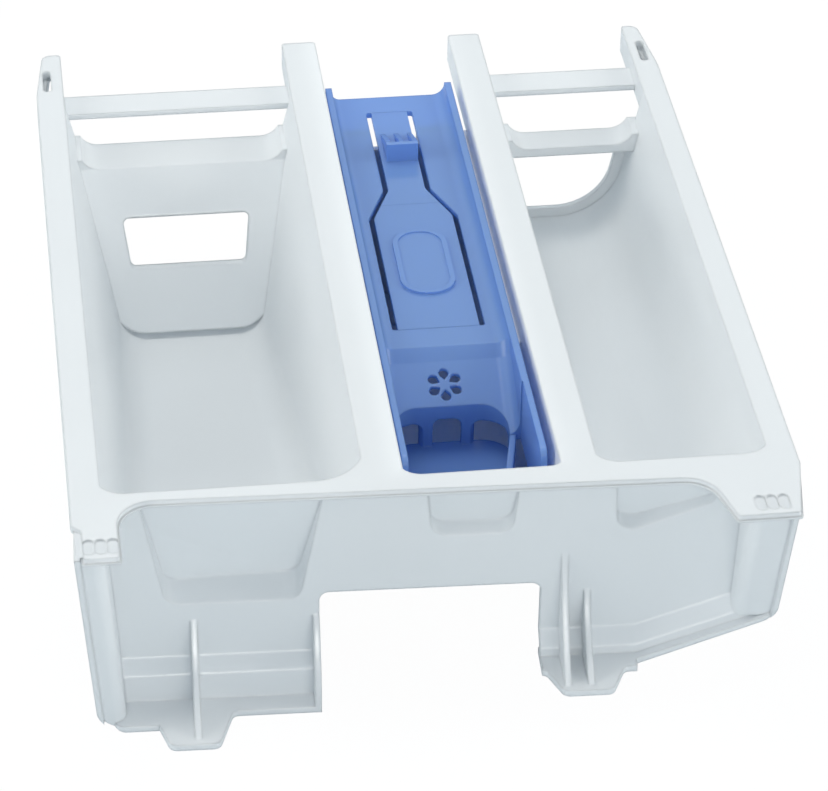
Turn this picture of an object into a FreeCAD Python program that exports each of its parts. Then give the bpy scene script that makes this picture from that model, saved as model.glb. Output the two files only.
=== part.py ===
"""Detergent dispenser drawer of a washing machine, without its front panel.

A white moulded tray with three bays carries a blue softener insert in its middle bay.
Working frame: X across, Y to the rear from the bays' front edge, Z up from the rail tops, millimetres.
The finished solids are shifted so that the origin lies under the middle of the drawer, on its feet.
"""
import FreeCAD, Part
import math
import os
from collections import namedtuple

Vector = FreeCAD.Vector

# Widths across the top, from the left outer rail to the right one
LEFT_RAIL = 8.2
LEFT_BAY = 68.1
INNER_RAIL_LEFT = 10.4
MIDDLE_BAY = 41.3
INNER_RAIL_RIGHT = 9.7
RIGHT_BAY = 44.9
RIGHT_RAIL = 7.4

# Tray: walls, rails and arms
WALL = 2.0
SKIN = 2.0
ARM_REACH = 225.0
RAIL_HEIGHT = 8.0
TIP_TAPER = 2.6
TIP_TAPER_LENGTH = 24.0
TIP_BEND = 40.0
TIP_ROUND = 3.0
TIP_SQUARE_ROUND = 1.2
ARM_SLOT_LENGTH = 12.0
ARM_SLOT_WIDTH = 2.4
ARM_SLOT_SETBACK = 21.5
ARM_SLOT_INSET = 3.5

# Tray: lengths and depths of the bays, slopes of their walls and rounds of their floors and front corners
FRONT_LEAN = 0.15
LEFT_LENGTH = 194.5
LEFT_FRONT_DEPTH = 31.0
LEFT_REAR_DEPTH = 64.0
LEFT_BAY_SLOPE = 0.24
LEFT_BAY_ROUND = 9.0
LEFT_BAY_CORNERS = (7.5, 14.0)
MIDDLE_LENGTH = 180.0
MIDDLE_FRONT_DEPTH = 33.0
MIDDLE_REAR_DEPTH = 64.0
MIDDLE_LEFT_SLOPE = 0.005
MIDDLE_RIGHT_SLOPE = 0.06
MIDDLE_BAY_ROUND = 4.0
MIDDLE_BAY_CORNERS = (6.0, 4.0)
RIGHT_LENGTH = 188.0
RIGHT_FRONT_DEPTH = 19.0
RIGHT_REAR_DEPTH = 44.0
RIGHT_LEFT_SLOPE = 0.045
RIGHT_RIGHT_SLOPE = 0.2
RIGHT_BAY_LEFT_ROUND = 6.0
RIGHT_BAY_RIGHT_ROUND = 20.0
RIGHT_BAY_CORNERS = (7.5, 7.0)

# Tray: rear ledges, baffle of the left bay, outlet of the right bay and thin tie bars
LEDGE_DROP = 14.0
LEDGE_THICK = 2.8
LEDGE_END_RISE = 3.4
LEDGE_END_WIDTH = 3.5
LEDGE_ROUND = 6.0
LEFT_LEDGE_DEPTH = 14.5
RIGHT_LEDGE_DEPTH = 10.0
BAFFLE_LEAN = 28.0
BAFFLE_GAP = 2.8
WINDOW_WIDTH = 38.2
WINDOW_HEIGHT = 12.5
WINDOW_DROP = 12.4
WINDOW_TAPER = 2.0
WINDOW_ROUND = 1.6
OUTLET_RIM = 3.2
OUTLET_DROP = 5.0
TIE_BAR_REAR = 208.0
TIE_BAR_DEPTH = 10.5
TIE_BAR_DROP = 5.0
TIE_BAR_THICK = 1.8

# Tray: front bar and ears
BAR_DEPTH = 7.0
BAR_SLANT = 2.1
BAR_STEP = 0.5
BAR_STEP_DROP = 1.3
EAR_REACH = 27.0
LEFT_EAR_WIDTH = 10.2
LEFT_EAR_INSET = 2.0
LEFT_SHOULDER = 14.5
RIGHT_EAR_WIDTH = 17.2
RIGHT_EAR_INSET = 3.6
RIGHT_SHOULDER = 6.0
EAR_FLARE = 4.5
EAR_ROUND = 9.0
EAR_CORNER = 1.0
SHOULDER_STEP = 2.0
SHOULDER_ROUND = 1.0
SCALLOP_WIDTH = 2.8
SCALLOP_LENGTH = 6.2
SCALLOP_PITCH = 3.1
SCALLOP_DEPTH = 0.6
SCALLOP_SETBACK = 5.5
SCALLOPS = 3

# Tray: apron with its cheeks, pockets, ribs and feet
LIP = 1.0
APRON_LEFT_DEPTH = 66.0
APRON_RIGHT_DEPTH = 57.0
APRON_CORNER_DEPTH = 43.0
APRON_STEP = 4.0
LEFT_STEP_RISE = 14.0
RIGHT_STEP_RISE = 8.5
STEP_BAND_LEFT = 3.6
STEP_BAND_RIGHT = 4.0
FLANGE_REACH = 9.5
SLANT_FLANGE_REACH = 6.5
LEFT_FLANGE_EXTRA = 4.5
LEFT_FLANGE_ROUND = 3.0
NOTCH_LEFT = 31.0
NOTCH_RIGHT = 27.5
NOTCH_TOP = 33.0
NOTCH_ROUND = 2.6
SLANT_START = 53.0
LEFT_SIDE_INSET = 0.8
RIGHT_SIDE_INSET = 3.6
LEFT_SIDE_TAPER = 4.2
RIGHT_SIDE_TAPER = 1.5
LEFT_LOW_ROUND = 8.0
RIGHT_LOW_ROUND = 6.0
LEFT_CHEEK_WIDTH = 7.4
RIGHT_CHEEK_WIDTH = 11.5
CHEEK_LINE_TOP = 24.5
CHEEK_LINE_BOTTOM = 14.5
CHEEK_ROUND = 3.4
RIM_WIDTH = 1.6
RIM_REACH = 1.4
FOOT_LINE = 26.0
TAB_WIDTH = 13.0
TAB_FLARE = 4.0
TAB_TIP_ROUND = 2.5
TAB_ROOT_ROUND = 2.0
LEFT_TAB_X = -65.0
RIGHT_TAB_X = 39.0
RIB = 1.8
RIB_SAG = 1.8
LEFT_RIB_TOP = 40.0
RIGHT_RIB_TOP = 23.0
RIGHT_RIB_STEP = 12.5
RIGHT_RIB_PITCH = 6.3
POCKET_START = 0.6
POCKET_SLOPE = 0.22
POCKET_SHELF_SLOPE = 0.6
POCKET_ROUND = 4.5
LEFT_POCKET_INSETS = (7.5, 9.5)
LEFT_POCKET_LEAN = 8.0
LEFT_POCKET_DEPTH = 35.5
MIDDLE_POCKET_INSETS = (4.7, 11.5)
MIDDLE_POCKET_LEAN = 2.0
MIDDLE_POCKET_DEPTH = 16.5
RIGHT_POCKET_INSETS = (3.4, 13.5)
RIGHT_POCKET_LEAN = 1.0
RIGHT_POCKET_RISE = 10.0

# Tray: outlet pipe of the softener bay and the ledges that carry the insert
PIPE_BORE = 6.0
PIPE_DIAMETER = 9.6
PIPE_TOP = 20.0
PIPE_SETBACK = 22.0
SEAT_WIDTH = 1.6
SEAT_HEIGHT = 4.0

# Softener insert: channel, chute and filling basin
SHEET = 1.7
INSERT_GAP = 0.5
INSERT_RIGHT_GAP = 2.4
INSERT_REAR = 199.0
FLANGE_TOP = 1.4
FLANGE_FRONT = 8.0
FLANGE_END_ROUND = 3.0
DECK_DROP = 5.5
LEFT_FLANGE_WIDTH = 1.9
RIGHT_FLANGE_WIDTH = 2.0
CHANNEL_LEFT_ROUND = 2.6
CHANNEL_RIGHT_ROUND = 3.9
RISER_Y = 65.0
RISER_HEIGHT = 3.0
RISER_RUN = 3.0
CHUTE_LENGTH = 15.5
CHUTE_FALL = 6.2
BASIN_DEPTH = 28.0
BASIN_FRONT = 6.5
BASIN_FRONT_ROUND = 5.0
BASIN_REAR_ROUND = 9.0
BASIN_RIGHT_INSET = 3.0
BASIN_TAPER = 7.0
BASIN_WINDOW_HEIGHT = 9.0
BASIN_SIDE_WINDOW_HEIGHT = 7.8
BASIN_WINDOW_WIDTH = 8.0
BASIN_SIDE_WINDOW_WIDTH = 11.5
BASIN_WINDOW_ROUND = 2.5
BASIN_WINDOW_TURN = 33
PETALS = 6
PETAL_DIAMETER = 2.8
PETAL_CIRCLE = 3.6
PETAL_POINT = 2.1
FLOWER_Y = 55.5
FLOWER_OFFSET = -0.7

# Press strip of the insert and its stop block
STRIP_FRONT = 74.0
STRIP_FLARE_FRONT = 131.0
STRIP_FLARE_REAR = 146.0
STRIP_REAR = 190.0
STRIP_PAD_WIDTH = 22.8
STRIP_NECK_WIDTH = 10.8
STRIP_BEND = 3.0
STRIP_OFFSET = -0.8
SLOT_WIDTH = 1.6
SLOT_END_ROUND = 0.7
STRIP_SPLIT = 138.0
STRIP_CLEARANCE = 0.06
STRIP_TRAVEL = 4.0
PAD_Y = 107.0
PAD_WIDTH = 15.6
PAD_LENGTH = 33.0
PAD_ROUND = 7.4
PAD_RING = 1.5
PAD_RISE = 0.8
PAD_DISH = 0.4
BLOCK_SETBACK = 28.3
BLOCK_OFFSET = 0.6
BLOCK_WIDTH = 9.4
BLOCK_HEIGHT = 5.9
BLOCK_WALL = 1.6
GUSSETS = 3
GUSSET = 1.4
GUSSET_LENGTH = 18.0

# Places that follow from the sizes above
WIDTH = LEFT_RAIL + LEFT_BAY + INNER_RAIL_LEFT + MIDDLE_BAY + INNER_RAIL_RIGHT + RIGHT_BAY + RIGHT_RAIL
X_LEFT = -WIDTH / 2
X_LEFT_BAY = X_LEFT + LEFT_RAIL
X_RAIL_B = X_LEFT_BAY + LEFT_BAY
X_MIDDLE_BAY = X_RAIL_B + INNER_RAIL_LEFT
X_RAIL_C = X_MIDDLE_BAY + MIDDLE_BAY
X_RIGHT_BAY = X_RAIL_C + INNER_RAIL_RIGHT
X_RAIL_D = X_RIGHT_BAY + RIGHT_BAY
X_RIGHT = X_RAIL_D + RIGHT_RAIL
BAR_SLOPE = math.tan(math.radians(BAR_SLANT))
PLACE = Vector(0, (EAR_REACH - ARM_REACH) / 2, APRON_LEFT_DEPTH)
INSERT_LEFT = X_MIDDLE_BAY + INSERT_GAP
INSERT_RIGHT = X_RAIL_C - INSERT_RIGHT_GAP
STRIP_X = (INSERT_LEFT + INSERT_RIGHT) / 2 + STRIP_OFFSET
DECK_UNDER = DECK_DROP + SHEET
BLOCK_Y = STRIP_REAR - BLOCK_SETBACK
CHUTE_TOP = -DECK_DROP - RISER_HEIGHT
CHUTE_LIP = RISER_Y - CHUTE_LENGTH
CHUTE_START = RISER_Y - RISER_RUN
CHUTE_SLOPE = CHUTE_FALL / (CHUTE_LENGTH - RISER_RUN)
CHUTE_END = CHUTE_LIP - BASIN_REAR_ROUND
BACK = max(LEFT_BAY_CORNERS + MIDDLE_BAY_CORNERS + RIGHT_BAY_CORNERS) + WALL
OVER = 1.0
NEARLY = 0.999
TOUCH = 1e-6

Bay = namedtuple("Bay", "x0 x1 length front_depth rear_depth left_slope right_slope "
                        "left_round right_round corners")
LEFT = Bay(X_LEFT_BAY, X_RAIL_B, LEFT_LENGTH, LEFT_FRONT_DEPTH, LEFT_REAR_DEPTH,
           LEFT_BAY_SLOPE, LEFT_BAY_SLOPE, LEFT_BAY_ROUND, LEFT_BAY_ROUND, LEFT_BAY_CORNERS)
MIDDLE = Bay(X_MIDDLE_BAY, X_RAIL_C, MIDDLE_LENGTH, MIDDLE_FRONT_DEPTH, MIDDLE_REAR_DEPTH,
             MIDDLE_LEFT_SLOPE, MIDDLE_RIGHT_SLOPE, MIDDLE_BAY_ROUND, MIDDLE_BAY_ROUND, MIDDLE_BAY_CORNERS)
RIGHT = Bay(X_RIGHT_BAY, X_RAIL_D, RIGHT_LENGTH, RIGHT_FRONT_DEPTH, RIGHT_REAR_DEPTH,
            RIGHT_LEFT_SLOPE, RIGHT_RIGHT_SLOPE,
            RIGHT_BAY_LEFT_ROUND, RIGHT_BAY_RIGHT_ROUND, RIGHT_BAY_CORNERS)


def rounded_wire(points, radii):
    """Closed wire through the points, each corner rounded by its own radius; 0 keeps it sharp."""
    corners = []
    for i, corner in enumerate(points):
        radius = radii[i]
        if radius == 0:
            corners.append((corner, corner, None))
            continue
        back = (points[i - 1] - corner).normalize()
        ahead = (points[(i + 1) % len(points)] - corner).normalize()
        half = back.getAngle(ahead) / 2
        reach = radius / math.tan(half)
        middle = corner + (back + ahead).normalize() * (radius / math.sin(half) - radius)
        corners.append((corner + back * reach, corner + ahead * reach, middle))
    edges = []
    for i, (start, end, middle) in enumerate(corners):
        if middle is not None:
            edges.append(Part.Arc(start, middle, end).toShape())
        following = corners[(i + 1) % len(corners)][0]
        edges.append(Part.LineSegment(end, following).toShape())
    return Part.Wire(edges)


def prism(points, along, radii=None):
    """Solid swept along a vector from a flat outline with rounded corners."""
    outline = rounded_wire(points, radii or [0] * len(points))
    return Part.Face(outline).extrude(along)


def plan_prism(outline, top, height, radii=None):
    """Upright solid below the level `top` with an outline given as (x, y) pairs."""
    return prism([Vector(x, y, top) for x, y in outline], Vector(0, 0, -height), radii)


def box(x0, x1, y0, y1, z0, z1):
    return Part.makeBox(x1 - x0, y1 - y0, z1 - z0, Vector(x0, y0, z0))


def fuse(shapes):
    return shapes[0].multiFuse(shapes[1:]).removeSplitter()


def side_profile(points, x, width):
    """Solid from a (y, z) outline at x, swept across by width."""
    return prism([Vector(x, y, z) for y, z in points], Vector(width, 0, 0))


def six_sided(front, back):
    """Solid between two four-cornered faces; a side whose corners lie in no plane becomes two triangles."""
    loops = [front, back]
    for i in range(4):
        a, b = front[i], front[(i + 1) % 4]
        c, d = back[(i + 1) % 4], back[i]
        if abs((b - a).cross(c - a).dot(d - a)) < TOUCH:
            loops.append([a, b, c, d])
        else:
            loops += [[a, b, c], [a, c, d]]
    faces = [Part.Face(Part.makePolygon(loop + [loop[0]])) for loop in loops]
    turned_out = Part.makeSolid(Part.makeShell(faces)).Faces
    return Part.makeSolid(Part.makeShell(turned_out))


def bay_depth(bay, y):
    return bay.front_depth + (bay.rear_depth - bay.front_depth) * y / bay.length


def bay_corners(bay, y, grow, top):
    """Corners of a bay's cross-section at station y, `grow` outside its inner face and level at `top`."""
    low = -bay_depth(bay, y) - grow
    return [
        Vector(bay.x0 - grow - bay.left_slope * top, y, top),
        Vector(bay.x1 + grow + bay.right_slope * top, y, top),
        Vector(bay.x1 + grow + bay.right_slope * low, y, low),
        Vector(bay.x0 - grow - bay.left_slope * low, y, low),
    ]


def floor_edge(trough, bay, right):
    """Long edge of a trough between its floor and one wall."""
    middle = (bay.x0 + bay.x1) / 2
    for edge in trough.Edges:
        first, last = edge.Vertexes[0].Point, edge.Vertexes[-1].Point
        runs_back = abs(first.y - last.y) > bay.length / 2
        below = max(first.z, last.z) < -bay.front_depth / 2
        if runs_back and below and (first.x > middle) == right:
            return edge


def bay_body(bay, grow, top, rear):
    """Trough with flat walls, a falling floor with round edges and a leaning front wall."""
    trough = six_sided(bay_corners(bay, -BAR_DEPTH, grow, top), bay_corners(bay, rear, grow, top))
    trough = trough.makeFillet(bay.left_round + grow, [floor_edge(trough, bay, False)])
    trough = trough.makeFillet(bay.right_round + grow, [floor_edge(trough, bay, True)])
    reach = bay.rear_depth + grow + top + WALL
    start = -grow - FRONT_LEAN * top
    outline = [
        Vector(bay.x0 - grow - OVER * top, start, top),
        Vector(bay.x1 + grow + OVER * top, start, top),
        Vector(bay.x1 + grow + OVER * top, rear + OVER, top),
        Vector(bay.x0 - grow - OVER * top, rear + OVER, top),
    ]
    radii = [bay.corners[0] + grow, bay.corners[1] + grow, 0, 0]
    plan = prism(outline, Vector(0, FRONT_LEAN * reach, -reach), radii)
    return trough.common(plan)


def rail_plan(x0, x1, y0, y1, tapers, radii):
    """Plan of a rail whose free end narrows on its outer side; tapers are (left, right)."""
    bend = y1 - TIP_TAPER_LENGTH
    outline = [(x0, y0), (x1, y0)]
    rounds = [0, 0]
    if tapers[1]:
        outline.append((x1, bend))
        rounds.append(TIP_BEND)
    outline += [(x1 - tapers[1], y1), (x0 + tapers[0], y1)]
    rounds += [radii[1], radii[0]]
    if tapers[0]:
        outline.append((x0, bend))
        rounds.append(TIP_BEND)
    return outline, rounds


def rail(x0, x1, tapers=(0, 0)):
    """Rail that runs the drawer's whole length and ends as a free arm: a channel open below."""
    tips = [TIP_ROUND if taper else TIP_SQUARE_ROUND for taper in tapers]
    outline, rounds = rail_plan(x0, x1, -BAR_DEPTH / 2, ARM_REACH, tapers, tips)
    body = plan_prism(outline, 0, RAIL_HEIGHT, rounds)
    inner, inner_rounds = rail_plan(x0 + WALL, x1 - WALL, WALL, ARM_REACH - WALL, tapers, (0, 0))
    hollow = plan_prism(inner, -SKIN, RAIL_HEIGHT - SKIN + OVER, inner_rounds)
    return body.cut(hollow)


def arm_slot(x):
    """Upright slot through the skin near the tip of an outer arm."""
    y = ARM_REACH - ARM_SLOT_SETBACK
    half = ARM_SLOT_WIDTH / 2
    outline = [(x - half, y), (x + half, y), (x + half, y + ARM_SLOT_LENGTH), (x - half, y + ARM_SLOT_LENGTH)]
    return plan_prism(outline, OVER, SKIN + 2 * OVER, [half * NEARLY] * 4)


def tie_bar(x0, x1):
    """Thin flat bar between two arms behind the bays."""
    return box(x0 - WALL, x1 + WALL, TIE_BAR_REAR - TIE_BAR_DEPTH, TIE_BAR_REAR,
               -TIE_BAR_DROP - TIE_BAR_THICK, -TIE_BAR_DROP)


def rear_ledge(bay, depth):
    """Level ledge across a bay's rear end, its ends curved up towards the rails."""
    y0 = bay.length - depth
    block = box(bay.x0, bay.x1, y0, bay.length, -LEDGE_DROP - LEDGE_THICK, -LEDGE_DROP + LEDGE_END_RISE)
    x0 = bay.x0 + LEDGE_END_WIDTH
    x1 = bay.x1 - LEDGE_END_WIDTH
    points = [
        Vector(x0, y0 - OVER, OVER),
        Vector(x1, y0 - OVER, OVER),
        Vector(x1, y0 - OVER, -LEDGE_DROP),
        Vector(x0, y0 - OVER, -LEDGE_DROP),
    ]
    opening = prism(points, Vector(0, depth + 2 * OVER, 0), [0, 0, LEDGE_ROUND, LEDGE_ROUND])
    return block.cut(opening).common(bay_body(bay, WALL / 2, 0, bay.length))


def baffle():
    """Leaning plate below the left ledge, with a window and a gap above the floor that follows the trough."""
    top_y = LEFT_LENGTH - LEFT_LEDGE_DEPTH
    low_y = top_y - BAFFLE_LEAN
    low_z = -bay_depth(LEFT, low_y) + BAFFLE_GAP
    slope = BAFFLE_LEAN / (-LEDGE_DROP - low_z)
    end_y = low_y - BAFFLE_GAP * slope
    end_z = low_z - BAFFLE_GAP
    profile = [
        (top_y, -LEDGE_DROP),
        (end_y, end_z),
        (end_y + WALL, end_z),
        (top_y + WALL, -LEDGE_DROP - WALL / 2),
    ]
    plate = side_profile(profile, LEFT.x0, LEFT_BAY)
    shallow = LEFT._replace(front_depth=LEFT_FRONT_DEPTH - BAFFLE_GAP,
                            rear_depth=LEFT_REAR_DEPTH - BAFFLE_GAP)
    plate = plate.common(bay_body(shallow, WALL / 2, 0, LEFT_LENGTH))
    middle = (LEFT.x0 + LEFT.x1) / 2
    top = -LEDGE_DROP - WINDOW_DROP
    half = WINDOW_WIDTH / 2
    corners = [
        Vector(middle - half, end_y - OVER, top),
        Vector(middle + half, end_y - OVER, top),
        Vector(middle + half - WINDOW_TAPER, end_y - OVER, top - WINDOW_HEIGHT),
        Vector(middle - half + WINDOW_TAPER, end_y - OVER, top - WINDOW_HEIGHT),
    ]
    window = prism(corners, Vector(0, top_y - end_y + WALL + 2 * OVER, 0), [WINDOW_ROUND] * 4)
    return plate.cut(window)


def right_outlet():
    """Opening in the right bay's rear wall that follows the trough's own section."""
    corners = bay_corners(RIGHT, RIGHT_LENGTH, -OUTLET_RIM, -LEDGE_DROP - OUTLET_DROP)
    radii = [0, 0, RIGHT.right_round - OUTLET_RIM, RIGHT.left_round - OUTLET_RIM]
    opening = prism(corners, Vector(0, WALL + 2 * OVER, 0), radii)
    opening.translate(Vector(0, -WALL - OVER, 0))
    return opening


def bar_y(x):
    """Front edge of the slanted front bar."""
    return -BAR_DEPTH - BAR_SLOPE * x


def plate_layer(inset, top, low):
    """One layer of the front bar with the two ears that reach forward of it, set in from the full outline."""
    left_out = X_LEFT + LEFT_EAR_INSET + inset
    left_in = X_LEFT + LEFT_EAR_INSET + LEFT_EAR_WIDTH - inset
    right_out = X_RIGHT - RIGHT_EAR_INSET - inset
    right_in = X_RIGHT - RIGHT_EAR_INSET - RIGHT_EAR_WIDTH + inset
    corner = right_in - EAR_FLARE
    outline = [
        (left_out, -EAR_REACH + inset), (left_in, -EAR_REACH + inset), (left_in, bar_y(left_in) + inset),
        (corner, bar_y(corner) + inset), (right_in, -EAR_REACH + inset), (right_out, -EAR_REACH + inset),
        (X_RIGHT, -RIGHT_SHOULDER), (X_RIGHT, BACK), (X_LEFT, BACK),
        (X_LEFT, -LEFT_SHOULDER + SHOULDER_STEP), (left_out, -LEFT_SHOULDER),
    ]
    ear = EAR_ROUND + inset
    radii = [EAR_CORNER, EAR_CORNER, ear, ear, EAR_CORNER, EAR_CORNER,
             SHOULDER_ROUND, 0, 0, SHOULDER_ROUND, SHOULDER_ROUND]
    return plan_prism(outline, top, top - low, radii)


def scallops(middle):
    """Row of oval recesses near an ear's front edge."""
    y0 = -EAR_REACH + SCALLOP_SETBACK - SCALLOP_LENGTH / 2
    y1 = y0 + SCALLOP_LENGTH
    half = SCALLOP_WIDTH / 2
    cuts = []
    for i in range(SCALLOPS):
        x = middle + (i - (SCALLOPS - 1) / 2) * SCALLOP_PITCH
        outline = [(x - half, y0), (x + half, y0), (x + half, y1), (x - half, y1)]
        cuts.append(plan_prism(outline, OVER, OVER + SCALLOP_DEPTH, [half * NEARLY] * 4))
    return cuts


def top_plate():
    """Front bar and ears: the upper layer stands back a little from the lower one."""
    plate = fuse([plate_layer(BAR_STEP, 0, -BAR_STEP_DROP), plate_layer(0, -BAR_STEP_DROP, -SKIN)])
    left_middle = X_LEFT + LEFT_EAR_INSET + LEFT_EAR_WIDTH / 2
    right_middle = X_RIGHT - RIGHT_EAR_INSET - RIGHT_EAR_WIDTH / 2 + SCALLOP_PITCH / 2
    return plate.cut(scallops(left_middle) + scallops(right_middle))


def apron_profile(x, depth, step_rise, band, top, reach):
    """Plate that steps forward above its bottom flange, as an outline in the plane at x."""
    step = -depth + step_rise
    front = LIP
    low = LIP - APRON_STEP
    pairs = [
        (front, top), (front, step), (low, step - band), (low, -depth + WALL),
        (LIP - reach, -depth + WALL), (LIP - reach, -depth),
        (low + WALL, -depth), (low + WALL, step - band - WALL / 2), (front + WALL, step - WALL / 2),
        (front + WALL, top),
    ]
    return [Vector(x, y, z) for y, z in pairs]


def pocket(x0, x1, lean, left_low, right_low, grow):
    """Recess that deepens downward to a shelf that slants up inward; `grow` gives its outer wall."""
    face = LIP - OVER if grow == 0 else LIP
    top = -SKIN / 2
    low = min(left_low, right_low) - grow
    shallow = LIP + POCKET_START + grow
    deep = shallow + POCKET_SLOPE * (top - low)
    points = [
        Vector(x0 - grow, face, top + deep), Vector(x1 + grow, face, top + deep),
        Vector(x1 - lean + grow, face, right_low - grow), Vector(x0 + lean - grow, face, left_low - grow),
    ]
    along = Vector(0, deep, deep * POCKET_SHELF_SLOPE)
    well = prism(points, along, [0, 0, POCKET_ROUND + grow, POCKET_ROUND + grow])
    wedge = side_profile([(face, top), (face, low), (deep, low), (shallow, top)], x0 - WALL, x1 - x0 + 2 * WALL)
    return well.common(wedge)


def pockets(grow):
    """Recesses in the apron in front of the three bays."""
    left_low = -LEFT_POCKET_DEPTH
    middle_low = -MIDDLE_POCKET_DEPTH
    right_low = -RIGHT_FRONT_DEPTH
    return [
        pocket(LEFT.x0 + LEFT_POCKET_INSETS[0], LEFT.x1 - LEFT_POCKET_INSETS[1], LEFT_POCKET_LEAN,
               left_low, left_low, grow),
        pocket(MIDDLE.x0 + MIDDLE_POCKET_INSETS[0], MIDDLE.x1 - MIDDLE_POCKET_INSETS[1], MIDDLE_POCKET_LEAN,
               middle_low, middle_low, grow),
        pocket(RIGHT.x0 + RIGHT_POCKET_INSETS[0], RIGHT.x1 - RIGHT_POCKET_INSETS[1], RIGHT_POCKET_LEAN,
               right_low, right_low + RIGHT_POCKET_RISE, grow),
    ]


def rib(x, top, depth, reach, sag):
    """Upright gusset from the plate down to a foot's front edge; sag hollows its front edge."""
    start = Vector(x, LIP, -top)
    end = Vector(x, -reach, -depth + WALL)
    middle = Vector(x, (start.y + end.y) / 2 + sag, (start.z + end.z) / 2 - sag)
    heel = Vector(x, LIP, -depth + WALL)
    edges = [
        Part.Arc(start, middle, end).toShape(),
        Part.LineSegment(end, heel).toShape(),
        Part.LineSegment(heel, start).toShape(),
    ]
    return Part.Face(Part.Wire(edges)).extrude(Vector(RIB, 0, 0))


def foot_reach(x):
    """How far a foot at x reaches from the bar's edge, so that all feet end on one line."""
    return FOOT_LINE + bar_y(x)


def foot(x, depth):
    """Flat tongue that reaches forward from the bottom flange, wider at its root."""
    half = TAB_WIDTH / 2
    root = half + TAB_FLARE
    end = root + TAB_ROOT_ROUND
    tip = -foot_reach(x)
    flange = LIP - FLANGE_REACH
    outline = [(x - half, tip), (x + half, tip), (x + root, flange), (x + end, flange),
               (x + end, LIP), (x - end, LIP), (x - end, flange), (x - root, flange)]
    radii = [TAB_TIP_ROUND, TAB_TIP_ROUND, TAB_ROOT_ROUND, 0, 0, 0, 0, TAB_ROOT_ROUND]
    return plan_prism(outline, -depth + WALL, WALL, radii)


def left_flange(left):
    """Wider part of the bottom flange between the left cheek and the left foot."""
    front = LIP - FLANGE_REACH - LEFT_FLANGE_EXTRA
    x0 = left + LEFT_SIDE_TAPER + LEFT_CHEEK_WIDTH - CHEEK_ROUND
    x1 = LEFT_TAB_X
    outline = [(x0, front), (x1, front), (x1, LIP), (x0, LIP)]
    return plan_prism(outline, -APRON_LEFT_DEPTH + WALL, WALL, [LEFT_FLANGE_ROUND, 0, 0, 0])


def cheek_lines(x):
    """Front of a cheek at its top and bottom, measured from the bar's edge at x."""
    return -CHEEK_LINE_TOP - bar_y(x), -CHEEK_LINE_BOTTOM - bar_y(x)


def cheek_stations(out_x, in_x, lean, depth, inset, back):
    """Plan corners of a cheek at its top and bottom, `inset` inside its outer faces."""
    side = math.copysign(inset, out_x - in_x)
    top_front, low_front = cheek_lines((out_x + in_x) / 2)
    stations = []
    for front, shift, z in ((top_front, 0, -SKIN / 2 - inset / 2), (low_front, lean, -depth + inset)):
        x0 = out_x - side + shift
        x1 = in_x + side + shift
        y = front + inset
        stations.append([Vector(x0, back, z), Vector(x0, y, z), Vector(x1, y, z), Vector(x1, back, z)])
    return stations


def cheek(out_x, in_x, lean, depth):
    """Post under an ear: its front slopes back downward and its inner front edge is rounded."""
    top, low = cheek_stations(out_x, in_x, lean, depth, 0, LIP + WALL)
    post = six_sided(top, low)
    for edge in post.Edges:
        ends = [vertex.Point for vertex in edge.Vertexes]
        if all(end.distanceToPoint(top[2]) * end.distanceToPoint(low[2]) < TOUCH for end in ends):
            return post.makeFillet(CHEEK_ROUND, [edge])


def cheek_hollow(out_x, in_x, lean, depth):
    """Inside of a cheek, open at the back of the plate."""
    return six_sided(*cheek_stations(out_x, in_x, lean, depth, WALL, LIP + WALL + OVER))


def cheek_rim(out_x, in_x, lean, depth):
    """Narrow rim along the outer edge of a cheek's front."""
    side = 1 if out_x > in_x else -1
    top_front, low_front = cheek_lines((out_x + in_x) / 2)
    points = [
        Vector(out_x, LIP + WALL, -SKIN / 2),
        Vector(out_x, top_front - RIM_REACH, -SKIN / 2),
        Vector(out_x + lean, low_front - RIM_REACH, -depth),
        Vector(out_x + lean, LIP + WALL, -depth),
    ]
    return prism(points, Vector(-side * RIM_WIDTH, 0, 0))


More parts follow.
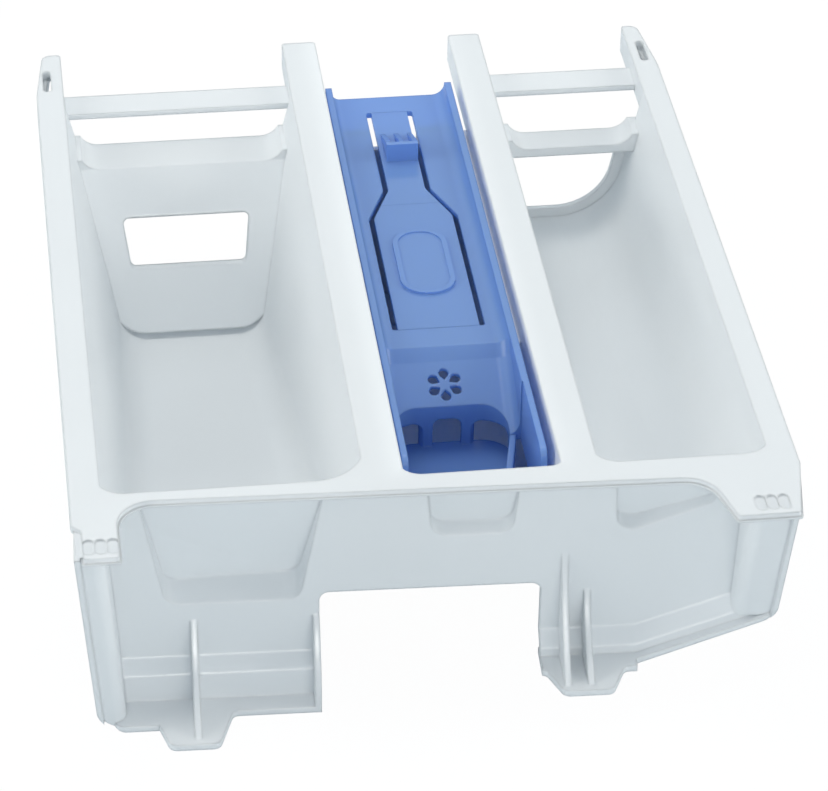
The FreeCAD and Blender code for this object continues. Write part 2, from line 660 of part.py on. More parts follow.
def apron():
    """Front apron in its own frame, its face at y = LIP, then turned to follow the slanted bar."""
    left = X_LEFT + LEFT_SIDE_INSET
    right = X_RIGHT - RIGHT_SIDE_INSET
    right_low = right - RIGHT_SIDE_TAPER
    slant = Vector(right - SLANT_START, 0, APRON_RIGHT_DEPTH - APRON_CORNER_DEPTH)
    upper = -NOTCH_TOP / 2
    pieces = [
        prism(apron_profile(left, APRON_LEFT_DEPTH, LEFT_STEP_RISE, STEP_BAND_LEFT, -SKIN / 2, FLANGE_REACH),
              Vector(-NOTCH_LEFT - left, 0, 0)),
        prism(apron_profile(NOTCH_RIGHT, APRON_RIGHT_DEPTH, RIGHT_STEP_RISE, STEP_BAND_RIGHT, -SKIN / 2,
                            FLANGE_REACH),
              Vector(SLANT_START - NOTCH_RIGHT, 0, 0)),
        prism(apron_profile(SLANT_START, APRON_RIGHT_DEPTH, RIGHT_STEP_RISE, STEP_BAND_RIGHT, upper,
                            SLANT_FLANGE_REACH), slant),
        box(left, right, LIP, LIP + WALL, -NOTCH_TOP - NOTCH_ROUND, -SKIN / 2),
    ]
    posts = [
        (left, left + LEFT_CHEEK_WIDTH, LEFT_SIDE_TAPER, APRON_LEFT_DEPTH),
        (right, right - RIGHT_CHEEK_WIDTH, -RIGHT_SIDE_TAPER, APRON_CORNER_DEPTH),
    ]
    for post in posts:
        pieces += [cheek(*post), cheek_rim(*post)]
    pieces += [foot(LEFT_TAB_X, APRON_LEFT_DEPTH), foot(RIGHT_TAB_X, APRON_RIGHT_DEPTH), left_flange(left)]
    body = fuse(pieces + pockets(WALL))
    outline = [
        (left, 0), (right, 0), (right_low, -APRON_CORNER_DEPTH), (SLANT_START, -APRON_RIGHT_DEPTH),
        (NOTCH_RIGHT, -APRON_RIGHT_DEPTH), (NOTCH_RIGHT, -NOTCH_TOP), (-NOTCH_LEFT, -NOTCH_TOP),
        (-NOTCH_LEFT, -APRON_LEFT_DEPTH), (left + LEFT_SIDE_TAPER, -APRON_LEFT_DEPTH),
    ]
    radii = [0, 0, RIGHT_LOW_ROUND, 0, 0, NOTCH_ROUND, NOTCH_ROUND, 0, LEFT_LOW_ROUND]
    points = [Vector(x, -EAR_REACH, z) for x, z in outline]
    body = body.common(prism(points, Vector(0, 2 * EAR_REACH, 0), radii))
    first = RIGHT_TAB_X - RIGHT_RIB_PITCH
    right_reach = foot_reach(RIGHT_TAB_X) - RIB
    ribs = [
        rib(LEFT_TAB_X, LEFT_RIB_TOP, APRON_LEFT_DEPTH, foot_reach(LEFT_TAB_X) - RIB, RIB_SAG),
        rib(-NOTCH_LEFT - RIB, LEFT_RIB_TOP, APRON_LEFT_DEPTH, FLANGE_REACH - LIP, -RIB_SAG),
        rib(first, RIGHT_RIB_TOP, APRON_RIGHT_DEPTH, right_reach, RIB_SAG),
        rib(first + RIGHT_RIB_PITCH, RIGHT_RIB_TOP + RIGHT_RIB_STEP, APRON_RIGHT_DEPTH, right_reach, RIB_SAG),
    ]
    body = fuse([body] + ribs)
    for hollow in pockets(0) + [cheek_hollow(*post) for post in posts]:
        body = body.cut(hollow)
    body.rotate(Vector(0, 0, 0), Vector(0, 0, 1), -BAR_SLANT)
    body.translate(Vector(0, -BAR_DEPTH, 0))
    return body


def make_tray():
    """The white tray: rails, three bays, rear walls, front bar with ears and apron."""
    shells = [
        bay_body(LEFT, WALL, 0, LEFT_LENGTH),
        bay_body(MIDDLE, WALL, 0, MIDDLE_LENGTH),
        bay_body(RIGHT, WALL, 0, RIGHT_LENGTH),
    ]
    rails = [
        rail(X_LEFT, X_LEFT_BAY, (TIP_TAPER, 0)),
        rail(X_RAIL_B, X_MIDDLE_BAY),
        rail(X_RAIL_C, X_RIGHT_BAY),
        rail(X_RAIL_D, X_RIGHT, (0, TIP_TAPER)),
    ]
    tray = fuse(shells + rails + [top_plate(), apron()])
    hollows = [
        bay_body(LEFT, 0, OVER, LEFT_LENGTH + OVER),
        bay_body(MIDDLE, 0, OVER, MIDDLE_LENGTH - WALL),
        bay_body(RIGHT, 0, OVER, RIGHT_LENGTH - WALL),
    ]
    for hollow in hollows + rear_cuts():
        tray = tray.cut(hollow)
    extras = [
        rear_ledge(LEFT, LEFT_LEDGE_DEPTH),
        rear_ledge(RIGHT, RIGHT_LEDGE_DEPTH),
        baffle(),
        tie_bar(X_LEFT_BAY, X_RAIL_B),
        tie_bar(X_RIGHT_BAY, X_RAIL_D),
        *insert_seats(),
        outlet_pipe(PIPE_DIAMETER, PIPE_TOP, 0),
    ]
    tray = fuse([tray] + extras)
    slots = [arm_slot(X_LEFT + ARM_SLOT_INSET), arm_slot(X_RIGHT - ARM_SLOT_INSET)]
    for slot in slots + [outlet_pipe(PIPE_BORE, PIPE_TOP - OVER, OVER)]:
        tray = tray.cut(slot)
    return tray.removeSplitter()


def rear_cuts():
    """Cuts in the rear walls: the space over the ledge, the insert's way out and the right outlet."""
    y0, y1 = RIGHT_LENGTH - WALL - OVER, RIGHT_LENGTH + OVER
    above_ledge = box(RIGHT.x0, RIGHT.x1, y0, y1, -LEDGE_DROP, OVER)
    y0, y1 = MIDDLE_LENGTH - WALL - OVER, MIDDLE_LENGTH + OVER
    over_wall = box(MIDDLE.x0, MIDDLE.x1, y0, y1, -DECK_UNDER, OVER)
    half = STRIP_NECK_WIDTH / 2 + SLOT_WIDTH
    below_strip = box(STRIP_X - half, STRIP_X + half, y0, y1, -DECK_UNDER - STRIP_TRAVEL, OVER)
    return [above_ledge, over_wall, below_strip, right_outlet()]


def outlet_pipe(diameter, top, extra):
    """Upright overflow pipe of the softener bay, from `extra` below its floor up to the level `top`."""
    y = MIDDLE_LENGTH - PIPE_SETBACK
    low = -bay_depth(MIDDLE, y) - WALL - extra
    x = (MIDDLE.x0 + MIDDLE.x1) / 2
    return Part.makeCylinder(diameter / 2, -top - low, Vector(x, y, low))


def insert_seats():
    """Narrow ledges on both walls of the middle bay that carry the insert's deck."""
    level = -DECK_UNDER
    y0 = RISER_Y + WALL
    y1 = MIDDLE_LENGTH - WALL
    left = box(MIDDLE.x0 - WALL / 2, MIDDLE.x0 + SEAT_WIDTH, y0, y1, level - SEAT_HEIGHT, level)
    right = box(INSERT_RIGHT - SEAT_WIDTH, MIDDLE.x1 + WALL / 2, y0, y1, level - SEAT_HEIGHT, level)
    return [left, right]


def strip_half(y):
    """Half width of the press strip at station y."""
    share = (y - STRIP_FLARE_FRONT) / (STRIP_FLARE_REAR - STRIP_FLARE_FRONT)
    share = min(max(share, 0), 1)
    return (STRIP_PAD_WIDTH + (STRIP_NECK_WIDTH - STRIP_PAD_WIDTH) * share) / 2


def strip_plan(front, rear, margin, end_round, top, height):
    """Press strip between two stations as an upright solid, grown sideways by margin, its bends rounded."""
    line = [(front, strip_half(front), end_round)]
    bends = [y for y in (STRIP_FLARE_FRONT, STRIP_FLARE_REAR) if front < y < rear]
    line += [(y, strip_half(y), STRIP_BEND) for y in bends]
    line += [(rear, strip_half(rear), end_round)]
    right = [(STRIP_X + half + margin, y) for y, half, bend in line]
    left = [(STRIP_X - half - margin, y) for y, half, bend in reversed(line)]
    rounds = [bend for y, half, bend in line]
    return plan_prism(right + left, top, height, rounds + rounds[::-1])


def chute_z(y):
    """Level of the chute's floor at station y."""
    return CHUTE_TOP - CHUTE_SLOPE * (CHUTE_START - y)


def channel(y, z, angle):
    """Long straight space above a floor through (y, z) that rises by angle, its long edges rounded."""
    x0 = INSERT_LEFT + LEFT_FLANGE_WIDTH
    x1 = INSERT_RIGHT - RIGHT_FLANGE_WIDTH
    top = z + BASIN_DEPTH
    start = y - INSERT_REAR
    points = [Vector(x0, start, z), Vector(x1, start, z), Vector(x1, start, top), Vector(x0, start, top)]
    space = prism(points, Vector(0, 2 * INSERT_REAR, 0), [CHANNEL_LEFT_ROUND, CHANNEL_RIGHT_ROUND, 0, 0])
    space.rotate(Vector(0, y, z), Vector(1, 0, 0), angle)
    return space


def half_space(y, z, angle, behind):
    """Large block behind or before the plane across the insert through (y, z) that leans by angle."""
    span = 2 * INSERT_REAR
    block = box(-span, span, 0, span, -span, span)
    block.rotate(Vector(0, 0, 0), Vector(1, 0, 0), angle if behind else angle + 180)
    block.translate(Vector(0, y, z))
    return block


def insert_channel():
    """Space above the deck, the riser and the chute, mitred where they meet."""
    riser = math.degrees(math.atan(RISER_HEIGHT / RISER_RUN))
    chute = math.degrees(math.atan(CHUTE_SLOPE))
    edge = (RISER_Y, -DECK_DROP, riser / 2)
    foot_line = (CHUTE_START, CHUTE_TOP, (riser + chute) / 2)
    over_deck = channel(RISER_Y, -DECK_DROP, 0).common(half_space(*edge, True))
    over_riser = channel(RISER_Y, -DECK_DROP, riser).common(half_space(*edge, False))
    over_chute = channel(CHUTE_START, CHUTE_TOP, chute).common(half_space(CHUTE_END, 0, 0, True))
    return fuse([
        over_deck,
        over_riser.common(half_space(*foot_line, True)),
        over_chute.common(half_space(*foot_line, False)),
    ])


def make_insert():
    """The blue softener insert: channel with a deck, a chute with drip holes and a filling basin."""
    width = INSERT_RIGHT - INSERT_LEFT
    end_z = chute_z(CHUTE_END)
    profile = [
        (INSERT_REAR, -FLANGE_TOP), (CHUTE_END, -FLANGE_TOP), (CHUTE_END, end_z - SHEET),
        (CHUTE_START, CHUTE_TOP - SHEET), (CHUTE_START + SHEET, CHUTE_TOP - SHEET),
        (RISER_Y + SHEET, -DECK_UNDER), (INSERT_REAR, -DECK_UNDER),
    ]
    low = -BASIN_DEPTH - SHEET
    rear_half = box(INSERT_LEFT, INSERT_RIGHT, CHUTE_END, RISER_Y, low, OVER)
    body = fuse([
        side_profile(profile, INSERT_LEFT, width),
        basin_shape(0, end_z, low),
        basin_shape(0, chute_z(CHUTE_LIP), low).common(rear_half),
        side_wall(INSERT_LEFT),
        side_wall(INSERT_RIGHT - SHEET),
    ])
    cuts = [
        insert_channel(),
        basin_shape(SHEET, OVER, -BASIN_DEPTH),
        *basin_windows(),
        *drip_holes(),
        press_slots(),
    ]
    for cut in cuts:
        body = body.cut(cut)
    return body.removeSplitter()


def side_wall(x):
    """Flange beside the basin; its front end is rounded."""
    low = chute_z(CHUTE_END) - SHEET
    points = [
        Vector(x, CHUTE_END + SHEET, -FLANGE_TOP),
        Vector(x, FLANGE_FRONT, -FLANGE_TOP),
        Vector(x, FLANGE_FRONT, low),
        Vector(x, CHUTE_END + SHEET, low),
    ]
    return prism(points, Vector(SHEET, 0, 0), [0, FLANGE_END_ROUND, FLANGE_END_ROUND, 0])


def basin_shape(inset, top, low):
    """Filling basin in plan: rounded at the rear, narrower towards the front on its right side."""
    x0 = INSERT_LEFT + inset
    x1 = INSERT_RIGHT - BASIN_RIGHT_INSET - inset
    rear = CHUTE_LIP - inset + SHEET
    front = BASIN_FRONT + inset
    outline = [(x0, front), (x1 - BASIN_TAPER, front), (x1, CHUTE_END), (x1, rear), (x0, rear)]
    front_round = BASIN_FRONT_ROUND - inset
    rear_round = BASIN_REAR_ROUND - inset
    return plan_prism(outline, top, top - low, [front_round, front_round, 0, rear_round, rear_round])


def basin_windows():
    """Three openings in the basin's rear wall, down to its floor: one straight, one at each corner."""
    x0 = INSERT_LEFT + BASIN_REAR_ROUND
    x1 = INSERT_RIGHT - BASIN_RIGHT_INSET - BASIN_REAR_ROUND
    y = CHUTE_END + SHEET
    places = [
        (x0, BASIN_WINDOW_TURN, BASIN_SIDE_WINDOW_WIDTH, BASIN_SIDE_WINDOW_HEIGHT),
        ((x0 + x1) / 2, 0, BASIN_WINDOW_WIDTH, BASIN_WINDOW_HEIGHT),
        (x1, -BASIN_WINDOW_TURN, BASIN_SIDE_WINDOW_WIDTH, BASIN_SIDE_WINDOW_HEIGHT),
    ]
    windows = []
    for x, turn, width, height in places:
        near = y + BASIN_REAR_ROUND / 2
        points = [
            Vector(x - width / 2, near, -BASIN_DEPTH + height),
            Vector(x + width / 2, near, -BASIN_DEPTH + height),
            Vector(x + width / 2, near, -BASIN_DEPTH),
            Vector(x - width / 2, near, -BASIN_DEPTH),
        ]
        window = prism(points, Vector(0, BASIN_REAR_ROUND, 0), [BASIN_WINDOW_ROUND, BASIN_WINDOW_ROUND, 0, 0])
        window.rotate(Vector(x, y, 0), Vector(0, 0, 1), turn)
        windows.append(window)
    return windows


def drip_holes():
    """Ring of drop-shaped drip holes square to the sloping chute."""
    centre = Vector(STRIP_X + FLOWER_OFFSET, FLOWER_Y, chute_z(FLOWER_Y))
    height = 4 * SHEET
    radius = PETAL_DIAMETER / 2
    holes = []
    for i in range(PETALS):
        angle = math.radians(90 + 360 / PETALS * i)
        outward = Vector(math.cos(angle), math.sin(angle), 0)
        place = centre + outward * PETAL_CIRCLE - Vector(0, 0, height / 2)
        disc = Part.makeCylinder(radius, height, place)
        reach = radius * radius / PETAL_POINT
        half_chord = math.sqrt(radius * radius - reach * reach)
        across = Vector(-outward.y, outward.x, 0) * half_chord
        base = place - outward * reach
        tip = prism([base + across, place - outward * PETAL_POINT, base - across], Vector(0, 0, height))
        petal = disc.fuse(tip)
        petal.rotate(centre, Vector(1, 0, 0), math.degrees(math.atan(CHUTE_SLOPE)))
        holes.append(petal)
    return holes


def press_slots():
    """Plan of the press strip with the slots beside it, cut through the deck."""
    top = -DECK_DROP + OVER
    return strip_plan(STRIP_FRONT, STRIP_REAR, SLOT_WIDTH, SLOT_END_ROUND, top, SHEET + 2 * OVER)


def oval(inset, low, rise):
    """Upright solid of the pad's rounded plan."""
    half_x = PAD_WIDTH / 2 - inset
    half_y = PAD_LENGTH / 2 - inset
    outline = [(STRIP_X - half_x, PAD_Y - half_y), (STRIP_X + half_x, PAD_Y - half_y),
               (STRIP_X + half_x, PAD_Y + half_y), (STRIP_X - half_x, PAD_Y + half_y)]
    return plan_prism(outline, low + rise, rise, [PAD_ROUND - inset] * 4)


def make_press_strip():
    """Front half of the flexing strip, with the dished oval pad that a thumb presses."""
    front = STRIP_FRONT + STRIP_CLEARANCE
    plate = strip_plan(front, STRIP_SPLIT - STRIP_CLEARANCE / 2, 0, 0, -DECK_DROP, SHEET)
    pad = oval(0, -DECK_DROP - SHEET / 2, SHEET / 2 + PAD_RISE)
    dish = oval(PAD_RING, -DECK_DROP + PAD_RISE - PAD_DISH, PAD_DISH + OVER)
    return fuse([plate, pad]).cut(dish)


def make_catch_strip():
    """Rear half of the flexing strip, with the stop block and the gussets behind it."""
    front = STRIP_SPLIT + STRIP_CLEARANCE / 2
    plate = strip_plan(front, STRIP_REAR - STRIP_CLEARANCE, 0, 0, -DECK_DROP, SHEET)
    base = -DECK_DROP - SHEET / 2
    x0 = STRIP_X + BLOCK_OFFSET - BLOCK_WIDTH / 2
    top = -DECK_DROP + BLOCK_HEIGHT
    face = box(x0, x0 + BLOCK_WIDTH, BLOCK_Y, BLOCK_Y + BLOCK_WALL, base, top)
    gussets = []
    for i in range(GUSSETS):
        x = x0 + i * (BLOCK_WIDTH - GUSSET) / (GUSSETS - 1)
        profile = [(BLOCK_Y, base), (BLOCK_Y, top),
                   (BLOCK_Y + BLOCK_WALL, top), (BLOCK_Y + GUSSET_LENGTH, base)]
        gussets.append(side_profile(profile, x, GUSSET))
    return fuse([plate, face] + gussets)


def main():
    os.makedirs("parts", exist_ok=True)
    nodes = {
        "drawer_tray": make_tray(),
        "softener_insert": make_insert(),
        "press_strip": make_press_strip(),
        "catch_strip": make_catch_strip(),
    }
    for name, shape in nodes.items():
        shape.translate(PLACE)
        print(name, shape.isValid(), len(shape.Solids), round(shape.Volume), shape.BoundBox)
        shape.exportStep("parts/" + name + ".step")


main()
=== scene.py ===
import math

import bpy
from mathutils import Matrix, Vector

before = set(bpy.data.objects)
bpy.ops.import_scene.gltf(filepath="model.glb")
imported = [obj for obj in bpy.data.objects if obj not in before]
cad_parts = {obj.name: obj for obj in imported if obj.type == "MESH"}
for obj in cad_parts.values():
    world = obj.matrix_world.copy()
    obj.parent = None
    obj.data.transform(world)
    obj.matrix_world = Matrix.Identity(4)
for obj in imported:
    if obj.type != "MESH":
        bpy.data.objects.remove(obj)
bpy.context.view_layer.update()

# Looks of the detergent dispenser drawer: finishes, light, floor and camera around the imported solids

# Camera, fitted to the photograph's vanishing points (metres and degrees)
IMAGE_WIDTH = 828
FOCAL_PIXELS = 3600
SENSOR_MM = 36.0
CAMERA_PLACE = Vector((-0.10643, -0.83903, 0.62346))
CAMERA_AZIMUTH = 7.722
CAMERA_ELEVATION = 35.482
CAMERA_ROLL = 0.923

# Finishes: colour, its slow drift, range of roughness, depth of the mould's grain, and the share of
# light let through
WHITE = (0.87, 0.90, 0.92)
WHITE_DRIFT = 0.012
WHITE_ROUGH = (0.28, 0.38)
WHITE_GRAIN = 0.06
WHITE_THROUGH = 0.12
BLUE = (0.26, 0.455, 0.83)
BLUE_DRIFT = 0.03
BLUE_ROUGH = (0.14, 0.21)
BLUE_GRAIN = 0.05
BLUE_THROUGH = 0.40
PLASTIC_IOR = 1.49

# Sizes of the finishes' patterns (per metre) and radii of the soft edges (metres)
DRIFT_SCALE = 14.0
GLOSS_SCALE = 60.0
GRAIN_SCALE = 900.0
GRAIN_DEPTH = 0.0001
TRAY_EDGE = 0.0012
INSERT_EDGE = 0.0008
STRIP_EDGE = 0.0002

# The walls around the softener bay let no light through: its middle, its half width over the walls, its front
# and the distance over which the light comes back
DARK_BAY_MIDDLE = 0.0114
DARK_BAY_HALF = 0.020
DARK_BAY_FRONT = -0.095
DARK_BAY_FADE = 0.006

# Light: the sky's strength at the horizon and overhead, where it shines and where it mirrors, the tints,
# and the floor's own glow where it is seen
SKY_LIGHT = (0.68, 0.30)
SKY_GLOSS = (0.2, 1.7)
GLOSS_HEIGHT = 0.55
SKY_TINT = (0.83, 0.925, 1.0)
LAMP_TINT = (1.0, 0.97, 0.915)
FLOOR_SIZE = 6.0
FLOOR_GLOW = 0.95
FLOOR_GLOW_STRENGTH = 1.02
FLOOR_TONE = (0.70, 0.76, 0.80)
FLOOR_ROUGH = 0.9

# Lamps: place, aim, size and power; the shine only mirrors in the edges
LAMPS = {
    "key": ((-0.15, 0.42, 1.30), (0, 0, 0.04), 0.8, 6.0),
    "side_left": ((-1.2, -0.1, 0.62), (0, 0, 0.03), 0.7, 6.5),
    "side_right": ((1.2, -0.1, 0.62), (0, 0, 0.03), 0.7, 6.5),
    "front": ((0.3, -1.4, 0.4), (0, 0, 0.03), 0.7, 3.3),
    "shine": ((-0.10, -1.3, 0.45), (0, -0.1, 0.04), 0.30, 12.0),
}


def new_material(name):
    """Material with a principled shader and its output; returns the material, its nodes, links and shader."""
    material = bpy.data.materials.new(name)
    material.use_nodes = True
    nodes = material.node_tree.nodes
    links = material.node_tree.links
    return material, nodes, links, nodes["Principled BSDF"]


def colour_drift(nodes, links, coordinates, colour, amount):
    """Slow change of tone over a moulding; returns the colour socket."""
    noise = nodes.new("ShaderNodeTexNoise")
    noise.inputs["Scale"].default_value = DRIFT_SCALE
    noise.inputs["Detail"].default_value = 3.0
    links.new(coordinates, noise.inputs["Vector"])
    ramp = nodes.new("ShaderNodeValToRGB")
    dark = [c * (1 - amount) for c in colour]
    light = [min(1.0, c * (1 + amount)) for c in colour]
    ramp.color_ramp.elements[0].color = (*dark, 1)
    ramp.color_ramp.elements[1].color = (*light, 1)
    ramp.color_ramp.elements[0].position = 0.3
    ramp.color_ramp.elements[1].position = 0.7
    links.new(noise.outputs["Fac"], ramp.inputs["Fac"])
    return ramp.outputs["Color"]


def roughness_drift(nodes, links, coordinates, low, high):
    """Uneven gloss of a moulded face; returns the roughness socket."""
    noise = nodes.new("ShaderNodeTexNoise")
    noise.inputs["Scale"].default_value = GLOSS_SCALE
    noise.inputs["Detail"].default_value = 4.0
    links.new(coordinates, noise.inputs["Vector"])
    spread = nodes.new("ShaderNodeMapRange")
    spread.inputs["From Min"].default_value = 0.3
    spread.inputs["From Max"].default_value = 0.7
    spread.inputs["To Min"].default_value = low
    spread.inputs["To Max"].default_value = high
    links.new(noise.outputs["Fac"], spread.inputs["Value"])
    return spread.outputs["Result"]


def mould_grain(nodes, links, coordinates, strength, edge):
    """Soft moulded edges and the fine grain that the mould leaves; returns the normal socket."""
    soft = nodes.new("ShaderNodeBevel")
    soft.samples = 6
    soft.inputs["Radius"].default_value = edge
    noise = nodes.new("ShaderNodeTexNoise")
    noise.inputs["Scale"].default_value = GRAIN_SCALE
    noise.inputs["Detail"].default_value = 2.0
    links.new(coordinates, noise.inputs["Vector"])
    bump = nodes.new("ShaderNodeBump")
    bump.inputs["Strength"].default_value = strength
    bump.inputs["Distance"].default_value = GRAIN_DEPTH
    links.new(noise.outputs["Fac"], bump.inputs["Height"])
    links.new(soft.outputs["Normal"], bump.inputs["Normal"])
    return bump.outputs["Normal"]


def plastic(name, colour, drift, rough, grain, edge, through):
    """Moulded plastic with uneven tone and gloss, fine grain, soft edges and a share of light let through.

    Returns the material and the socket of that share.
    """
    material, nodes, links, shader = new_material(name)
    coordinates = nodes.new("ShaderNodeTexCoord").outputs["Object"]
    tone = colour_drift(nodes, links, coordinates, colour, drift)
    links.new(tone, shader.inputs["Base Color"])
    links.new(roughness_drift(nodes, links, coordinates, *rough), shader.inputs["Roughness"])
    links.new(mould_grain(nodes, links, coordinates, grain, edge), shader.inputs["Normal"])
    shader.inputs["IOR"].default_value = PLASTIC_IOR
    glow = nodes.new("ShaderNodeBsdfTranslucent")
    links.new(tone, glow.inputs["Color"])
    mix = nodes.new("ShaderNodeMixShader")
    mix.inputs["Fac"].default_value = through
    links.new(shader.outputs["BSDF"], mix.inputs[1])
    links.new(glow.outputs["BSDF"], mix.inputs[2])
    links.new(mix.outputs["Shader"], nodes["Material Output"].inputs["Surface"])
    return material, mix.inputs["Fac"]


def close_bay(material, share, through):
    """Lets light through a moulding everywhere but around the softener bay, which lies deep and dark."""
    nodes = material.node_tree.nodes
    links = material.node_tree.links
    place = nodes.new("ShaderNodeSeparateXYZ")
    links.new(nodes.new("ShaderNodeNewGeometry").outputs["Position"], place.inputs["Vector"])
    offset = nodes.new("ShaderNodeMath")
    offset.operation = "SUBTRACT"
    offset.inputs[1].default_value = DARK_BAY_MIDDLE
    links.new(place.outputs["X"], offset.inputs[0])
    distance = nodes.new("ShaderNodeMath")
    distance.operation = "ABSOLUTE"
    links.new(offset.outputs[0], distance.inputs[0])
    fade = nodes.new("ShaderNodeMapRange")
    fade.inputs["From Min"].default_value = DARK_BAY_HALF
    fade.inputs["From Max"].default_value = DARK_BAY_HALF + DARK_BAY_FADE
    fade.inputs["To Max"].default_value = through
    links.new(distance.outputs[0], fade.inputs["Value"])
    ahead = nodes.new("ShaderNodeMapRange")
    ahead.inputs["From Min"].default_value = DARK_BAY_FRONT
    ahead.inputs["From Max"].default_value = DARK_BAY_FRONT - DARK_BAY_FADE
    ahead.inputs["To Max"].default_value = through
    links.new(place.outputs["Y"], ahead.inputs["Value"])
    either = nodes.new("ShaderNodeMath")
    either.operation = "MAXIMUM"
    links.new(fade.outputs["Result"], either.inputs[0])
    links.new(ahead.outputs["Result"], either.inputs[1])
    links.new(either.outputs[0], share)


def dress(name, material):
    """Gives a CAD node its finish."""
    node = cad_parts[name]
    node.data.materials.clear()
    node.data.materials.append(material)


def camera_matrix():
    """Camera frame from its azimuth, elevation and roll."""
    azimuth = math.radians(CAMERA_AZIMUTH)
    elevation = math.radians(CAMERA_ELEVATION)
    level = Vector((math.sin(azimuth), math.cos(azimuth), 0))
    ahead = level * math.cos(elevation) - Vector((0, 0, math.sin(elevation)))
    right = Vector((math.cos(azimuth), -math.sin(azimuth), 0))
    right = Matrix.Rotation(-math.radians(CAMERA_ROLL), 3, ahead) @ right
    up = right.cross(ahead)
    turn = Matrix((right, up, -ahead)).transposed()
    return Matrix.Translation(CAMERA_PLACE) @ turn.to_4x4()


def add_camera():
    """Camera at the photograph's place, with its lens."""
    data = bpy.data.cameras.new("camera")
    data.sensor_width = SENSOR_MM
    data.lens = SENSOR_MM * FOCAL_PIXELS / IMAGE_WIDTH
    data.clip_start = 0.01
    camera = bpy.data.objects.new("camera", data)
    camera.matrix_world = camera_matrix()
    bpy.context.scene.collection.objects.link(camera)
    bpy.context.scene.camera = camera


def add_area(name, place, aim, size, power):
    """Soft square lamp at a place, aimed at a point."""
    data = bpy.data.lights.new(name, "AREA")
    data.shape = "SQUARE"
    data.size = size
    data.energy = power
    data.color = LAMP_TINT
    lamp = bpy.data.objects.new(name, data)
    lamp.location = place
    lamp.rotation_euler = (Vector(aim) - Vector(place)).to_track_quat("-Z", "Y").to_euler()
    bpy.context.scene.collection.objects.link(lamp)
    return lamp


def seen_directly(nodes, links):
    """Two sockets: 1 for camera and see-through rays, and 1 for rays that mirror in the object."""
    path = nodes.new("ShaderNodeLightPath")
    total = nodes.new("ShaderNodeMath")
    total.operation = "MAXIMUM"
    links.new(path.outputs["Is Camera Ray"], total.inputs[0])
    links.new(path.outputs["Is Transmission Ray"], total.inputs[1])
    return total.outputs[0], path.outputs["Is Glossy Ray"]


def sky_level(nodes, links, height, top, levels):
    """Strength that goes from the horizon's level to the one overhead, reached at the given height."""
    spread = nodes.new("ShaderNodeMapRange")
    spread.inputs["From Max"].default_value = top
    spread.inputs["To Min"].default_value = levels[0]
    spread.inputs["To Max"].default_value = levels[1]
    links.new(height, spread.inputs["Value"])
    return spread.outputs["Result"]


def mix_levels(nodes, links, factor, first):
    """Level that leaves the first socket as the factor rises; returns the second to fill and the result."""
    mix = nodes.new("ShaderNodeMix")
    mix.data_type = "FLOAT"
    links.new(factor, mix.inputs["Factor"])
    links.new(first, mix.inputs["A"])
    return mix.inputs["B"], mix.outputs["Result"]


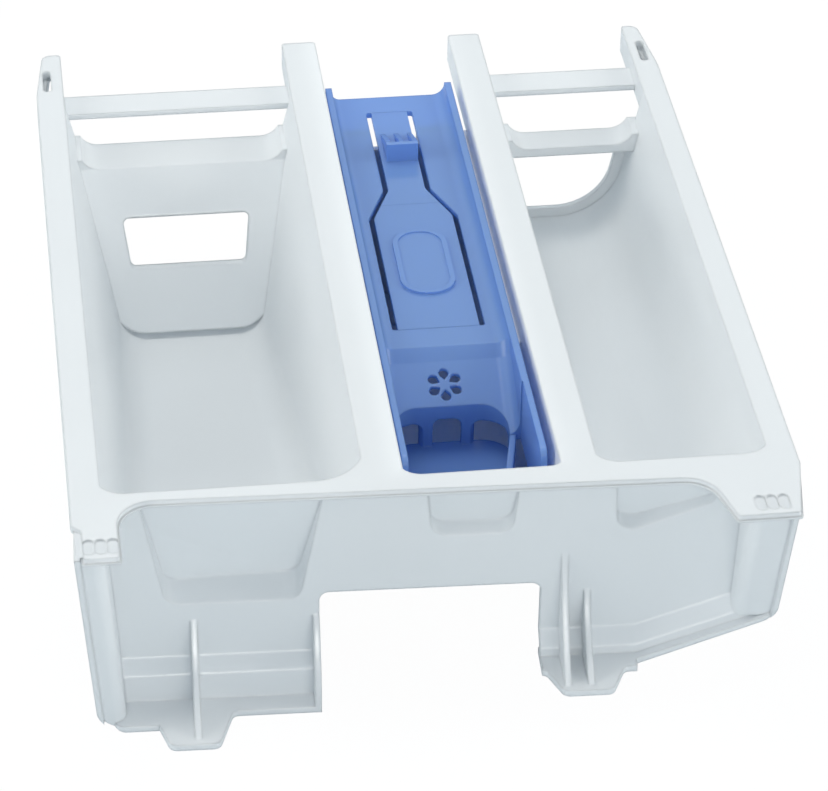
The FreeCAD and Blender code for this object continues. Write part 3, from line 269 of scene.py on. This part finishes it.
def add_world():
    """White backdrop where it is seen, soft light where it shines, and a dark horizon in mirror rays."""
    world = bpy.data.worlds.new("studio")
    bpy.context.scene.world = world
    world.use_nodes = True
    nodes = world.node_tree.nodes
    links = world.node_tree.links
    background = nodes["Background"]
    tint = nodes.new("ShaderNodeMix")
    tint.data_type = "RGBA"
    tint.inputs["A"].default_value = (*SKY_TINT, 1)
    tint.inputs["B"].default_value = (1, 1, 1, 1)
    seen, mirrored = seen_directly(nodes, links)
    links.new(seen, tint.inputs["Factor"])
    links.new(tint.outputs["Result"], background.inputs["Color"])
    parts = nodes.new("ShaderNodeSeparateXYZ")
    links.new(nodes.new("ShaderNodeTexCoord").outputs["Generated"], parts.inputs["Vector"])
    shining = sky_level(nodes, links, parts.outputs["Z"], 1.0, SKY_LIGHT)
    gloss, mixed = mix_levels(nodes, links, mirrored, shining)
    links.new(sky_level(nodes, links, parts.outputs["Z"], GLOSS_HEIGHT, SKY_GLOSS), gloss)
    plain, level = mix_levels(nodes, links, seen, mixed)
    plain.default_value = 1.0
    links.new(level, background.inputs["Strength"])


def add_floor():
    """Plain pale floor that fades to white but keeps the object's shadow."""
    bpy.ops.mesh.primitive_plane_add(size=FLOOR_SIZE, location=(0, 0, 0))
    floor = bpy.context.object
    floor.name = "floor"
    material, nodes, links, shader = new_material("floor_white")
    shader.inputs["Base Color"].default_value = (*FLOOR_TONE, 1)
    shader.inputs["Roughness"].default_value = FLOOR_ROUGH
    glow = nodes.new("ShaderNodeEmission")
    glow.inputs["Strength"].default_value = FLOOR_GLOW_STRENGTH
    share = nodes.new("ShaderNodeMath")
    share.operation = "MULTIPLY"
    share.inputs[1].default_value = FLOOR_GLOW
    seen, _ = seen_directly(nodes, links)
    links.new(seen, share.inputs[0])
    mix = nodes.new("ShaderNodeMixShader")
    links.new(share.outputs[0], mix.inputs["Fac"])
    links.new(shader.outputs["BSDF"], mix.inputs[1])
    links.new(glow.outputs["Emission"], mix.inputs[2])
    links.new(mix.outputs["Shader"], nodes["Material Output"].inputs["Surface"])
    floor.data.materials.append(material)


white, white_share = plastic("white_plastic", WHITE, WHITE_DRIFT, WHITE_ROUGH, WHITE_GRAIN, TRAY_EDGE,
                             WHITE_THROUGH)
close_bay(white, white_share, WHITE_THROUGH)
blue, _ = plastic("blue_plastic", BLUE, BLUE_DRIFT, BLUE_ROUGH, BLUE_GRAIN, INSERT_EDGE, BLUE_THROUGH)
strip_blue, _ = plastic("strip_plastic", BLUE, BLUE_DRIFT, BLUE_ROUGH, BLUE_GRAIN, STRIP_EDGE, BLUE_THROUGH)
dress("drawer_tray", white)
dress("softener_insert", blue)
for strip_node in ("press_strip", "catch_strip"):
    dress(strip_node, strip_blue)

add_camera()
add_world()
add_floor()
lamps = {name: add_area(name, *settings) for name, settings in LAMPS.items()}
lamps["shine"].visible_diffuse = False
lamps["shine"].visible_transmission = False
bpy.context.scene.view_settings.view_transform = "Standard"
